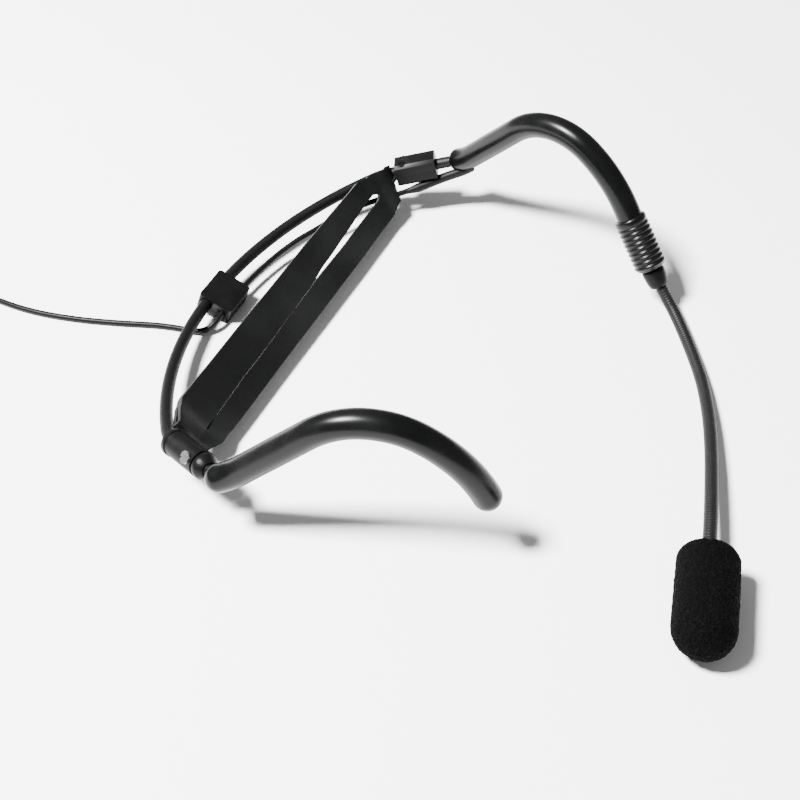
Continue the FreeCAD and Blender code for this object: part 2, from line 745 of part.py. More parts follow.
# ---- microphone on the end of the boom -----------------------------------------------------
boom_end = Vector(*boom_route_points[-1])
mic_axis = (boom_end - Vector(*boom_route_points[-2])).normalize()
housing_place = along(boom_end, mic_axis)
housing_body = cylinder("housing_body", "sizes.housing_radius", "sizes.housing_length",
                        housing_place)
inside_place = along(boom_end + mic_axis * get("housing_floor"), mic_axis)
housing_room = cylinder("housing_room", "sizes.housing_radius - sizes.housing_wall",
                        "sizes.housing_length", inside_place)
keep(cut("housing", housing_body, [housing_room]), "mic_housing")
grille_place = along(boom_end + mic_axis * (get("housing_length") - get("grille_thickness")),
                     mic_axis)
inner_radius = "sizes.housing_radius - sizes.housing_wall - sizes.fit_clearance"
grille_disc = cylinder("grille_disc", inner_radius, "sizes.grille_thickness", grille_place)
grille_holes = []
for number in range(6):
    turn = math.radians(60 * number)
    hole_at = Vector(math.cos(turn), math.sin(turn), 0) * get("grille_hole_circle")
    hole_at.z = -past
    hole_place = Placement(grille_place.multVec(hole_at), grille_place.Rotation)
    grille_holes.append(cylinder("grille_hole_%d" % number, "sizes.grille_hole_radius",
                                 get("grille_thickness") + 2 * past, hole_place))
keep(cut("grille", grille_disc, grille_holes), "mic_grille")
capsule_back = grille_place.Base - mic_axis * (get("capsule_length") + get("gasket_thickness"))
capsule_place = along(capsule_back, mic_axis)
keep(cylinder("capsule", inner_radius, "sizes.capsule_length", capsule_place), "mic_capsule")
gasket_place = along(capsule_place.Base + mic_axis * get("capsule_length"), mic_axis)
gasket_ring = cylinder("gasket_ring", inner_radius, "sizes.gasket_thickness", gasket_place)
gasket_room = cylinder("gasket_room", inner_radius + " - sizes.gasket_width",
                       "sizes.gasket_thickness", gasket_place)
keep(cut("gasket", gasket_ring, [gasket_room]), "mic_gasket")
carrier_length = (capsule_place.Base - inside_place.Base).Length
keep(cylinder("carrier", inner_radius, carrier_length, inside_place), "capsule_carrier")

# foam windscreen: a pill with a blind bore that fits over the housing
foam_start = boom_end - mic_axis * get("foam_from_boom")
foam_body = cylinder("foam_body", "sizes.foam_radius", "sizes.foam_length - 2 * sizes.foam_radius",
                     along(foam_start + mic_axis * get("foam_radius"), mic_axis))
foam_back = ball("foam_back", "sizes.foam_radius", along(foam_start + mic_axis * get("foam_radius"),
                                                         mic_axis))
foam_front_point = foam_start + mic_axis * (get("foam_length") - get("foam_radius"))
foam_front = ball("foam_front", "sizes.foam_radius", along(foam_front_point, mic_axis))
foam_bore = cylinder("foam_bore", "sizes.housing_radius + sizes.foam_clearance",
                     get("foam_bore_depth") + past, along(foam_start - mic_axis * past, mic_axis))
keep(cut("foam", fuse("foam_blank", [foam_body, foam_back, foam_front]), [foam_bore]),
     "foam_windscreen")

# ---- strap --------------------------------------------------------------------------------
def strap_point(length, width, depth=0.0):
    """A point of the strap's middle plane."""
    return strap_middle + strap_along * length + strap_up * width + strap_face * depth


def band(label, outline):
    """A flat band of the strap: an outline in its plane, as thick as the strap."""
    back = [strap_point(length, width, -get("strap_thickness") / 2) for length, width in outline]
    wire = Part.makePolygon(back + [back[0]])
    thing = document.addObject("Part::Feature", label + "_sheet")
    thing.Shape = Part.Face(wire).extrude(strap_face * get("strap_thickness"))
    return keep(thing, label)


half = get("strap_half_length")
slit = get("slit_half_width")
gap = get("gap_half_width")
band("strap_upper_band", [(-half, get("slit_near") + slit), (-half, get("strap_top") - 0.6),
                          (-half + 6, get("strap_top")), (half - 8, get("strap_top")),
                          (half, get("strap_top") - 2.2), (half, get("slit_middle") + 2 * gap),
                          (0.32 * half, get("slit_middle") + gap),
                          (0.0, get("slit_middle") + slit)])
band("strap_lower_band", [(-half, get("slit_near") - slit), (0.0, get("slit_middle") - slit),
                          (0.32 * half, get("slit_middle") - gap * 0.3),
                          (half, get("slit_middle") - gap), (half, get("strap_bottom") + 1.6),
                          (half - 8, get("strap_bottom")), (-half + 5, get("strap_bottom")),
                          (-half, get("strap_bottom") + 0.8)])


def hem(label, side):
    """The rolled end of the strap, with the hole that its stud goes into."""
    middle = hem_centre(side)
    place = along(middle - strap_up * get("hem_half_length"), strap_up)
    roll = cylinder(label + "_roll", "sizes.hem_radius", "sizes.hem_half_length * 2", place)
    holder = near_hem_hold if side < 0 else far_hem_hold
    reach = middle - holder
    hole = cylinder(label + "_hole", "sizes.hem_stud_radius + sizes.fit_clearance",
                    reach.Length + get("running_clearance"), along(holder, reach))
    return keep(cut(label, roll, [hole, lead_room]), label)


hem("strap_near_hem", -1)
hem("strap_far_hem", +1)

# ---- gland ------------------------------------------------------------------------------------
# the gland under the block that the lead comes out of
gland_axis = (far_lead_stop - Vector(*lead_points[-2])).normalize()
gland_bar = cylinder("gland_bar", "sizes.gland_radius", "sizes.gland_length",
                     along(far_lead_stop - gland_axis * get("gland_behind"), gland_axis))
keep(cut("gland", gland_bar, [lead_room, block_with_stud]), "lead_gland")


# ---- clip in two halves --------------------------------------------------------------------
def ring_bore(name, circle, rise, radius):
    """A round bore through the clip that follows a circle about the neckband's axis."""
    start, middle, end = (on_arc_of(circle, get("clip_angle") + turn, rise)
                          for turn in (-clip_reach, 0.0, clip_reach))
    return sweep(name, [Part.Arc(start, middle, end).toShape()], radius)


clip_middle = on_arc_of(get("neckband_radius"), get("clip_angle"))
clip_along = tangent_at(get("clip_angle"))
clip_level = clip_along.cross(plane_up)
clip_inward = clip_level * math.cos(clip_lean) - plane_up * math.sin(clip_lean)
clip_up = plane_up * math.cos(clip_lean) + clip_level * math.sin(clip_lean)
clip_corner = (clip_middle - clip_along * get("clip_length") / 2
               - clip_inward * get("clip_outside") - clip_up * get("clip_below"))
clip_turn = Rotation(clip_inward, clip_along, clip_up, "XZY")
clip_place = Placement(clip_corner, clip_turn)
clip_blank = block("clip_blank", "sizes.clip_outside + sizes.clip_inside", "sizes.clip_length",
                   "sizes.clip_below + sizes.clip_above", clip_place)
document.recompute()
clip_round = document.addObject("Part::Fillet", "clip_round")
clip_round.Base = clip_blank
clip_round.Edges = [(number + 1, get("clip_corner"), get("clip_corner"))
                    for number, edge in enumerate(clip_blank.Shape.Edges)
                    if abs(edge.tangentAt(edge.FirstParameter).dot(clip_up)) > 0.99]
clip_reach = clip_half_angle * 2
clip_bores = [ring_bore("clip_wire_bore", get("neckband_radius"), 0.0,
                        "sizes.sleeve_radius + sizes.guide_clearance"),
              ring_bore("clip_lead_bore", lead_circle, lead_rise,
                        "sizes.lead_radius + sizes.guide_clearance")]
clip_whole = cut("clip_whole", clip_round, clip_bores)
clip_half = 30.0  # wider than the clip on every side
clip_room = block("clip_room", clip_half * 2, clip_half * 2, clip_half,
                  Placement(clip_middle - (clip_inward + clip_along) * clip_half, clip_turn))
keep(overlap("clip_top", clip_whole, clip_room), "clip_upper_half")
keep(cut("clip_bottom", clip_whole, [clip_room]), "clip_lower_half")

# ---- free cable: it leaves the clip, passes under the neckband and lies on the table ---------
cable_points = [tuple(lead_exit), (-88.5, -13.6, 4.1), (-90.0, -17.4, 2.4), (-94.2, -19.2, 1.2),
                (-99.8, -19.6, 1.0), (-108.4, -21.6, 1.0), (-120.8, -26.2, 1.0),
                (-136.2, -30.8, 1.0), (-152.4, -33.6, 1.0), (-169.4, -33.2, 1.0),
                (-183.4, -31.6, 1.0), (-192.4, -31.0, 1.0)]
cable_route = rounded_route("free cable", cable_points)
free_cable = keep(sweep("free_cable", cable_route, "sizes.lead_radius"), "free_cable")

coil_middle = Vector(-197.4, -46.0, 0)
coil_place = Placement(coil_middle, Rotation())
coil_body = cylinder("coil_body", "sizes.coil_outer_radius", "sizes.coil_height", coil_place)
coil_hole = cylinder("coil_hole", "sizes.coil_inner_radius", "sizes.coil_height", coil_place)
keep(cut("coil", coil_body, [coil_hole]), "cable_coil")

# the tie: a flat strip round the bundle, on its near side
tie_corner = Vector(get("coil_inner_radius"), -get("tie_width") / 2, 0)
bundle_width = "sizes.coil_outer_radius - sizes.coil_inner_radius"
tie_out = block("tie_out", bundle_width + " + 2 * sizes.tie_thickness", "sizes.tie_width",
                "sizes.coil_height + sizes.tie_thickness",
                Placement(coil_middle + tie_corner - Vector(get("tie_thickness"), 0, 0), Rotation()))
tie_in = block("tie_in", bundle_width, "sizes.tie_width", "sizes.coil_height",
               Placement(coil_middle + tie_corner, Rotation()))
keep(cut("tie", tie_out, [tie_in, coil_body]), "coil_tie")

tail_points = [(-212.4, -48.5, 7.0), (-212.5, -54.5, 6.7), (-212.4, -60.5, 5.7),
               (-212.4, -66.0, 5.0), (-212.4, -71.0, 5.0)]
tail_route = rounded_route("cable tail", tail_points)
cable_tail = keep(sweep("cable_tail", tail_route, "sizes.lead_radius"), "cable_tail")

# ---- plug ----------------------------------------------------------------------------------
plug_axis = Vector(0, -1, 0)
plug_back = Vector(-212.4, -66.0, get("plug_radius") + get("plug_lift"))


def plug_place(distance):
    """A placement on the plug's axis, this far forward of its boot's back end."""
    return along(plug_back + plug_axis * distance, plug_axis, Vector(0, 0, 1))


boot_bore = cylinder("plug_boot_bore", "sizes.lead_radius + sizes.fit_clearance",
                     "sizes.plug_bore_depth", plug_place(0))
plug_boot = cone("plug_boot_cone", "sizes.plug_boot_small_radius", "sizes.plug_boot_large_radius",
                 "sizes.plug_boot_length", plug_place(0))
keep(cut("plug_boot", plug_boot, [boot_bore]), "plug_boot")
body_start = get("plug_boot_length")
nose_start = body_start + get("plug_body_length")
plug_body = cylinder("plug_body", "sizes.plug_radius", "sizes.plug_body_length",
                     plug_place(body_start))
plug_nose = cylinder("plug_nose", "sizes.plug_nose_radius", "sizes.plug_nose_length",
                     plug_place(nose_start))
plug_cavity = cylinder("plug_cavity", "sizes.plug_cavity_radius",
                       "sizes.plug_body_length + sizes.plug_nose_length",
                       plug_place(body_start + get("plug_wall")))
button_at = body_start + get("button_from_boot")
window = block("button_window", "sizes.plug_radius", "sizes.button_width + 2 * sizes.button_gap",
               "sizes.button_length + 2 * sizes.button_gap",
               plug_place(button_at - get("button_gap")))
window_corner = Vector(get("plug_cavity_radius") - past,
                       -get("button_width") / 2 - get("button_gap"), 0)
window.Placement = window.Placement.multiply(Placement(window_corner, Rotation()))
keep(cut("plug_shell", fuse("plug_shell_blank", [plug_body, plug_nose]), [plug_cavity, window]),
     "plug_shell")
insulator_start = nose_start - get("insulator_behind_nose")
contact_places = []
for number in range(3):
    turn = math.radians(120 * number)
    offset = Vector(get("contact_circle_radius") * math.cos(turn),
                    get("contact_circle_radius") * math.sin(turn), 0)
    start = plug_place(insulator_start - past)
    contact_places.append(Placement(start.multVec(offset), start.Rotation))
insulator_body = cylinder("insulator_body", "sizes.plug_cavity_radius - sizes.fit_clearance",
                          "sizes.insulator_length", plug_place(insulator_start))
contact_holes = [cylinder("contact_hole_%d" % number, "sizes.contact_radius + sizes.fit_clearance",
                          "sizes.insulator_length * 2", place)
                 for number, place in enumerate(contact_places)]
keep(cut("insulator", insulator_body, contact_holes), "plug_insulator")
contacts = []
for number, place in enumerate(contact_places):
    outer = cylinder("contact_outer_%d" % number, "sizes.contact_radius",
                     "sizes.contact_length", place)
    bore_at = Vector(0, 0, get("contact_length") - get("contact_bore_depth"))
    inner = cylinder("contact_inner_%d" % number, "sizes.contact_radius * 0.55",
                     get("contact_bore_depth") + past,
                     Placement(place.multVec(bore_at), place.Rotation))
    contacts.append(cut("contact_%d" % number, outer, [inner]))
contact_set = document.addObject("Part::Compound", "contact_set")
contact_set.Links = contacts
keep(contact_set, "plug_contacts")
button = block("button", "sizes.button_height", "sizes.button_width", "sizes.button_length",
               plug_place(button_at))
button_top = get("plug_radius") + get("button_travel") + get("button_stands_out")
button_corner = Vector(button_top - get("button_height"), -get("button_width") / 2, 0)
button.Placement = button.Placement.multiply(Placement(button_corner, Rotation()))
keep(button, "latch_button")

# ---- check, report and write ----------------------------------------------------------------
document.recompute()
for thing in document.Objects:
    if "Invalid" in thing.State or "Error" in thing.State:
        raise RuntimeError("%s failed: %s" % (thing.Name, thing.State))
for thing in parts:
    shape = thing.Shape
    if shape.isNull() or not shape.isValid() or not shape.Solids:
        raise RuntimeError("%s has no valid solid" % thing.Label)

check_tube("free cable", cable_route, free_cable, get("lead_radius"))
check_tube("cable tail", tail_route, cable_tail, get("lead_radius"))
check_tube("mic lead", lead_route, mic_lead, get("lead_radius"))
check_tube("boom core", boom_route, boom_core, get("boom_bore_radius") - get("fit_clearance"))

cord_labels = ("free_cable", "cable_coil", "coil_tie", "cable_tail", "plug_boot", "plug_shell",
               "plug_insulator", "plug_contacts", "latch_button")
box = FreeCAD.BoundBox()
for thing in parts:
    if thing.Label not in cord_labels:
        box.add(thing.Shape.optimalBoundingBox(False, False))
print("box without the cord: x %.2f %.2f  y %.2f %.2f  z %.2f %.2f"
      % (box.XMin, box.XMax, box.YMin, box.YMax, box.ZMin, box.ZMax))
for words, point, axis in (("near hook", near_root, near_axis), ("far hook", far_root, far_axis),
                           ("boom", bush_end, sleeve_axis), ("windscreen", boom_end, mic_axis),
                           ("clip", arc_centre, plane_up)):
    print("%s joint at (%.3f, %.3f, %.3f)" % (words, point.x, point.y, point.z),
          "axis (%.5f, %.5f, %.5f)" % (axis.x, axis.y, axis.z))

os.makedirs("parts", exist_ok=True)
for thing in parts:
    thing.Shape.exportStep(os.path.join("parts", thing.Label + ".step"))
print(len(parts), "parts written")
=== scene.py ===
# %% [markdown]
# # A headset microphone for the stage
# The headset is worn behind the neck: a sprung band, two padded ear hooks, a slit strap,
# a ribbed suspension, and a gooseneck that carries a microphone in a foam windscreen.
# The moving frame comes ready made, as solids with joints. This lesson dresses that frame:
# it keeps the solids whose shape is right, and builds the soft and detailed pieces anew.
# Lengths are in metres, and a millimetre is written as `mm`.

# %% Load the frame
import bmesh
import bpy
import math
from mathutils import Matrix, Vector, noise


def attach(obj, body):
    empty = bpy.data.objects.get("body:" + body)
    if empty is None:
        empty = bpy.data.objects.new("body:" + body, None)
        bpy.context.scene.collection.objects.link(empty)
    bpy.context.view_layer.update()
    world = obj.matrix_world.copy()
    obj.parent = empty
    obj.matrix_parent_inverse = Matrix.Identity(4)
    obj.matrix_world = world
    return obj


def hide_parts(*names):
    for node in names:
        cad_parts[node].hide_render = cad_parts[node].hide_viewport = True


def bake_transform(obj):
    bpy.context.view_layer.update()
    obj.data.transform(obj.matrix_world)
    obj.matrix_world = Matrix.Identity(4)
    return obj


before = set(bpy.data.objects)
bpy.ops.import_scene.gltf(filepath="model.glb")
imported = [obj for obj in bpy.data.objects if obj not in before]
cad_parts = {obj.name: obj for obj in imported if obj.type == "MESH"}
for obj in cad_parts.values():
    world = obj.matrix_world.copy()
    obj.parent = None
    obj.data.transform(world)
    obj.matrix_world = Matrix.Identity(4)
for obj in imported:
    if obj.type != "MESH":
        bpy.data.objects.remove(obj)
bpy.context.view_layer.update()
mm = 0.001

# %% [markdown]
# ## The camera
# The camera stands on the wearer's right, a little ahead, and looks down at the headset.
# It could be aimed with a Track To constraint. Three plain angles are easier to read:
# how far round it stands, how high it stands, and how much it is rolled.

# %% Place the camera
camera_data = bpy.data.cameras.new("camera")
camera_data.lens = 53.84
camera_data.clip_start = 10 * mm
camera = bpy.data.objects.new("camera", camera_data)
bpy.context.scene.collection.objects.link(camera)
round_angle = math.radians(26.507)
height_angle = math.radians(45.834)
roll_angle = math.radians(-1.522)
camera_turn = (Matrix.Rotation(round_angle, 3, "Z")
               @ Matrix.Rotation(math.pi / 2 - height_angle, 3, "X")
               @ Matrix.Rotation(roll_angle, 3, "Z"))
camera.location = (97.9 * mm, -253.2 * mm, 269.9 * mm)
camera.rotation_euler = camera_turn.to_euler()
bpy.context.scene.camera = camera
print("camera at", [round(part, 4) for part in camera.location])


# %% [markdown]
# ## Small helpers
# Every operator acts on what is selected, so each piece starts from an empty selection.
# A finished piece is told three things: its material, the body it moves with, and the solids
# that it stands for.

# %% Selecting, placing and finishing
def only(piece):
    """Select this piece alone and make it the active one."""
    bpy.ops.object.select_all(action="DESELECT")
    piece.select_set(True)
    bpy.context.view_layer.objects.active = piece


def apply_modifiers(piece):
    """Turn the modifiers on a piece into mesh."""
    only(piece)
    for modifier in list(piece.modifiers):
        bpy.ops.object.modifier_apply(modifier=modifier.name)


def smooth(piece, angle=35):
    """Shade a piece smooth, but keep edges sharper than the angle."""
    only(piece)
    bpy.ops.object.shade_smooth_by_angle(angle=math.radians(angle))


def finish(piece, material, body, slot, *stands_for):
    """Give a piece its material and body, and hide the solids it stands for. The slot is not used.
    """
    piece.data.materials.clear()
    piece.data.materials.append(material)
    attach(piece, body)
    if stands_for:
        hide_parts(*stands_for)
    print(piece.name, "rides on", body)
    return piece


# %% [markdown]
# ## The line of a cord
# A cord is one smooth curve. A NURBS curve of order 3 touches the middle of every run
# between its control points, so the line has no kinks. Its order and its end setting are
# made after the points are added, because before that Blender has nothing to apply them to.

# %% A smooth line through control points
def nurbs_line(name, points):
    """A NURBS curve of order 3 that starts and ends at its end points."""
    data = bpy.data.curves.new(name, "CURVE")
    data.dimensions = "3D"
    spline = data.splines.new("NURBS")
    spline.points.add(len(points) - 1)
    for control, point in zip(spline.points, points):
        control.co = (point[0] * mm, point[1] * mm, point[2] * mm, 1.0)
    spline.order_u = 3
    spline.use_endpoint_u = True
    spline.resolution_u = 8
    line = bpy.data.objects.new(name, data)
    bpy.context.scene.collection.objects.link(line)
    return line


def line_points(line):
    """The points of a curve's own line, as Blender works them out."""
    bpy.context.view_layer.update()
    drawn = line.evaluated_get(bpy.context.evaluated_depsgraph_get())
    mesh = bpy.data.meshes.new_from_object(drawn)
    points = [vertex.co.copy() for vertex in mesh.vertices]
    bpy.data.meshes.remove(mesh)
    return points


def spaced(points, step):
    """Points a fixed step apart along a line of points."""
    result = [points[0]]
    left = step
    for start, end in zip(points, points[1:]):
        run = (end - start).length
        done = 0.0
        while run - done >= left:
            done += left
            result.append(start.lerp(end, done / run))
            left = step
        left -= run - done
    return result


# %% [markdown]
# ## The free cable
# The cable is two millimetres thick and about 1.27 metres long. It leaves the clip, drops
# to the table, passes under the neckband and runs off to the left, where it is wound into
# a neat coil with a tie. The turns of the coil are worked out by a loop: four rings lie
# side by side in each of four layers, and the cable steps from ring to ring on one side.

# %% Wind the cable
cable_radius = 1.0 * mm
cable_route = [(-88.75, -10.21, 4.28), (-88.5, -13.6, 4.1), (-90.0, -17.4, 2.4),
               (-94.2, -19.2, 1.2), (-99.8, -19.6, 1.0), (-108.4, -21.6, 1.0),
               (-120.8, -26.2, 1.0), (-136.2, -30.8, 1.0), (-152.4, -33.6, 1.0),
               (-169.4, -33.2, 1.0), (-183.4, -31.6, 1.0)]
tail_route = [(-212.4, -48.5, 7.0), (-212.5, -54.5, 6.7), (-212.4, -60.5, 5.7),
              (-212.4, -66.0, 5.0), (-212.4, -71.0, 5.0)]
coil_middle = Vector((-197.4, -46.0))
turn_points = 16
line_shrinks = 0.75 + 0.25 * math.cos(math.tau / turn_points)
layer_radii = (15.0, 12.98, 10.96, 8.94)
layer_heights = (1.0, 3.0, 5.0, 7.0)
start_angle = 80.0
leave_angle = 190.0
rings = []
for layer, height in enumerate(layer_heights):
    radii = layer_radii if layer % 2 == 0 else layer_radii[::-1]
    rings += [(radius, height) for radius in radii]
coil_route = []
unused_turn = (360 + start_angle - leave_angle) / 360
last_point = len(rings) * turn_points - round(unused_turn * turn_points)
for number in range(last_point):
    ring = number // turn_points
    step = number % turn_points
    radius, height = rings[ring]
    if ring > 0 and step < 2:
        before_radius, before_height = rings[ring - 1]
        share = (step + 1) / 3
        radius = before_radius + (radius - before_radius) * share
        height = before_height + (height - before_height) * share
    angle = math.radians(start_angle + 360 * step / turn_points)
    coil_route.append((coil_middle.x + math.cos(angle) * radius / line_shrinks,
                       coil_middle.y + math.sin(angle) * radius / line_shrinks, height))
cable = nurbs_line("cable", cable_route + coil_route + tail_route)
cable_line = line_points(cable)
cable_length = sum((b - a).length for a, b in zip(cable_line, cable_line[1:]))
cable.data.bevel_depth = cable_radius
cable.data.bevel_resolution = 4
cable.data.use_fill_caps = True
print("cable length", round(cable_length, 3))


# %% [markdown]
# ## Shader maths as plain Python
# A material is a graph of nodes. Written out by hand it hides the idea, so `Wire` wraps one
# socket and gives it Python's own plus and times: `grain * 0.6` adds a Math node. Any other
# node comes from `Finish.node`, which sets the node up first and then fills in its sockets.

# %% A small language for materials
class Wire:
    """One socket of a material, with arithmetic on it."""

    def __init__(self, finish, socket):
        self.finish = finish
        self.socket = socket

    def maths(self, operation, first, second):
        return self.finish.node("ShaderNodeMath", {"operation": operation},
                                {0: first, 1: second})

    def __add__(self, other):
        return self.maths("ADD", self, other)

    def __mul__(self, other):
        return self.maths("MULTIPLY", self, other)

    __radd__ = __add__
    __rmul__ = __mul__


class Finish:
    """A material whose look is worked out by nodes."""

    def __init__(self, name, **constants):
        self.material = bpy.data.materials.new(name)
        self.material.use_nodes = True
        self.tree = self.material.node_tree
        self.shader = self.tree.nodes["Principled BSDF"]
        for word, value in constants.items():
            socket = word.replace("_", " ").title().replace("Ior", "IOR")
            self.shader.inputs[socket].default_value = value
        place = self.tree.nodes.new("ShaderNodeTexCoord")
        self.place = Wire(self, place.outputs["Object"])

    def fill(self, socket, value):
        if isinstance(value, Wire):
            self.tree.links.new(value.socket, socket)
        else:
            socket.default_value = value

    def node(self, kind, settings, inputs, output=0):
        """Add a node, set it up, fill its sockets and hand back one output."""
        node = self.tree.nodes.new(kind)
        for word, value in settings.items():
            setattr(node, word, value)
        for name, value in inputs.items():
            self.fill(node.inputs[name], value)
        return Wire(self, node.outputs[output])

    def noise(self, scale, detail=3.0):
        return self.node("ShaderNodeTexNoise", {},
                         {"Vector": self.place, "Scale": scale, "Detail": detail})

    def cells(self, scale, feature="F1"):
        return self.node("ShaderNodeTexVoronoi", {"feature": feature},
                         {"Vector": self.place, "Scale": scale})

    def mix(self, share, first, second):
        """A colour between two colours."""
        return self.node("ShaderNodeMix", {"data_type": "RGBA"},
                         {0: share, 6: first, 7: second}, output=2)

    def range(self, value, low, high, to_low, to_high):
        """Stretch a value from one range to another, and clamp it."""
        return self.node("ShaderNodeMapRange", {},
                         {0: value, 1: low, 2: high, 3: to_low, 4: to_high})

    def set(self, colour, roughness=None):
        self.fill(self.shader.inputs["Base Color"], colour)
        if roughness is not None:
            self.fill(self.shader.inputs["Roughness"], roughness)

    def bump(self, height, depth, strength=1.0):
        """Turn a height into a normal; depth is in metres."""
        normal = self.node("ShaderNodeBump", {},
                           {"Height": height, "Distance": depth, "Strength": strength})
        self.fill(self.shader.inputs["Normal"], normal)
        return self.material


def grey(value, warm=0.0):
    """A grey as a colour, a little warmer or cooler."""
    return (value * (1 + warm), value, value * (1 - warm), 1.0)


# %% [markdown]
# ## Black in many finishes
# Nearly every visible piece is black, so the finishes tell them apart. Soft rubber is satin and has
# slow changes in its sheen, moulded plastic has a spark-eroded grain, the strap has a fine
# leather grain, and the foam is made of tiny open cells that swallow the light.

# %% Satin rubber for the padded tubes
def make_tube_rubber():
    finish = Finish("tube_rubber", specular_ior_level=0.14)
    slow = finish.noise(90.0, 4.0)
    fine = finish.noise(2600.0, 2.0)
    rubbed = finish.range(slow, 0.45, 0.7, 0.0, 1.0)
    finish.set(colour=finish.mix(rubbed, grey(0.0018, -0.04), grey(0.0033, -0.02)),
               roughness=finish.range(slow, 0.3, 0.7, 0.2, 0.3))
    return finish.bump(fine + slow * 0.6, 0.00003, 0.35)


tube_rubber = make_tube_rubber()


# %% Matt rubber for the neckband's sleeve and the cable glands
def make_sleeve_rubber():
    finish = Finish("sleeve_rubber", specular_ior_level=0.1)
    grain = finish.noise(1500.0, 3.0)
    slow = finish.noise(120.0, 2.0)
    finish.set(colour=finish.mix(slow, grey(0.0019), grey(0.0036)),
               roughness=finish.range(grain, 0.3, 0.7, 0.42, 0.58))
    return finish.bump(grain, 0.00004, 0.4)


sleeve_rubber = make_sleeve_rubber()


# %% Glossier moulded rubber for the ribbed suspension
def make_ribbed_rubber():
    finish = Finish("ribbed_rubber", specular_ior_level=0.17)
    grain = finish.noise(900.0, 3.0)
    dust = finish.range(finish.noise(300.0, 5.0), 0.55, 0.75, 0.0, 1.0)
    finish.set(colour=finish.mix(dust, grey(0.0017), grey(0.0036, 0.03)),
               roughness=finish.range(grain, 0.3, 0.7, 0.24, 0.36))
    return finish.bump(grain, 0.00003, 0.3)


ribbed_rubber = make_ribbed_rubber()


# %% Moulded plastic for the joints, the clip and the boots
def make_joint_plastic():
    finish = Finish("joint_plastic", specular_ior_level=0.08)
    spark = finish.cells(3800.0)
    slow = finish.noise(160.0, 3.0)
    finish.set(colour=finish.mix(slow, grey(0.0017), grey(0.0033)),
               roughness=finish.range(slow, 0.3, 0.7, 0.34, 0.46))
    return finish.bump(spark + slow * 0.5, 0.00003, 0.35)


joint_plastic = make_joint_plastic()


# %% Fine leather grain for the strap
def make_strap_leather():
    finish = Finish("strap_leather", specular_ior_level=0.14)
    pebble = finish.cells(1500.0, "SMOOTH_F1")
    pore = finish.noise(3200.0, 2.0)
    slow = finish.noise(45.0, 3.0)
    worn = finish.range(slow, 0.4, 0.7, 0.0, 1.0)
    finish.set(colour=finish.mix(worn, grey(0.0018, -0.06), grey(0.0039, -0.05)),
               roughness=finish.range(slow + pebble * 0.3, 0.3, 0.9, 0.42, 0.6))
    return finish.bump(pebble * -1.0 + pore * 0.3, 0.00006, 0.45)


strap_leather = make_strap_leather()


# %% The gooseneck's coat
def make_gooseneck_coat():
    finish = Finish("gooseneck_coat", specular_ior_level=0.13)
    grain = finish.noise(2200.0, 3.0)
    slow = finish.noise(200.0, 2.0)
    finish.set(colour=finish.mix(slow, grey(0.0033), grey(0.0066)),
               roughness=finish.range(grain, 0.3, 0.7, 0.38, 0.52))
    return finish.bump(grain, 0.00003, 0.35)


gooseneck_coat = make_gooseneck_coat()


# %% Open cell foam
def make_foam():
    finish = Finish("windscreen_foam", specular_ior_level=0.03, roughness=1.0)
    cells_per_metre = 1500.0
    cell = finish.cells(cells_per_metre)
    wall = finish.cells(cells_per_metre, "DISTANCE_TO_EDGE")
    patch = finish.noise(700.0, 4.0)
    # Painted shade: the middle of each cell is painted darker and its struts lighter, standing for
    # the shade in the open pores. The patch noise varies it at random.
    lit_strut_mask = finish.range(wall, 0.0, 0.16, 1.0, 0.0)
    finish.set(colour=finish.mix(lit_strut_mask * patch, grey(0.0006), grey(0.0044)))
    return finish.bump(cell + patch, 0.0005, 0.8)


windscreen_foam = make_foam()


# %% The cable's jacket
def make_cable_jacket():
    finish = Finish("cable_jacket", specular_ior_level=0.09)
    grain = finish.noise(1800.0, 2.0)
    finish.set(colour=finish.mix(grain, grey(0.0017), grey(0.003)),
               roughness=finish.range(grain, 0.3, 0.7, 0.36, 0.5))
    return finish.bump(grain, 0.00002, 0.3)


cable_jacket = make_cable_jacket()


# %% [markdown]
# ## Metals
# Metals take their colour from what they reflect, so the nodes change their roughness more
# than their colour: machined faces are scratched, plated ones are almost even.

# %% Metals and the plain inside materials
def make_metal(name, dark, light, rough_low, rough_high, scale):
    finish = Finish(name, metallic=1.0)
    scratch = finish.noise(scale, 4.0)
    slow = finish.noise(scale / 9, 2.0)
    finish.set(colour=finish.mix(slow, dark, light),
               roughness=finish.range(scratch, 0.3, 0.7, rough_low, rough_high))
    return finish.bump(scratch, 0.00002, 0.25)


black_steel = make_metal("black_steel", grey(0.01), grey(0.024), 0.42, 0.58, 2500.0)
bright_steel = make_metal("bright_steel", grey(0.16), grey(0.26), 0.3, 0.42, 3000.0)
plug_metal = make_metal("plug_metal", grey(0.035), grey(0.06), 0.26, 0.36, 2200.0)
spring_steel = make_metal("spring_steel", grey(0.35), grey(0.5), 0.25, 0.4, 2500.0)
capsule_metal = make_metal("capsule_metal", grey(0.5), grey(0.65), 0.25, 0.38, 2500.0)
contact_brass = make_metal("contact_brass", (0.75, 0.52, 0.2, 1), (0.9, 0.68, 0.32, 1),
                           0.16, 0.28, 2600.0)
copper_core = make_metal("copper_core", (0.6, 0.28, 0.16, 1), (0.75, 0.4, 0.26, 1),
                         0.3, 0.45, 3000.0)


def make_plain(name, dark, light, rough_low, rough_high, scale, depth):
    finish = Finish(name, specular_ior_level=0.4)
    grain = finish.noise(scale, 3.0)
    finish.set(colour=finish.mix(grain, dark, light),
               roughness=finish.range(grain, 0.3, 0.7, rough_low, rough_high))
    return finish.bump(grain, depth, 0.4)


insulator_plastic = make_plain("insulator_plastic", grey(0.03), grey(0.05), 0.5, 0.65,
                               1500.0, 0.00004)
tie_fabric = make_plain("tie_fabric", grey(0.008), grey(0.022), 0.75, 0.95, 2600.0, 0.0002)

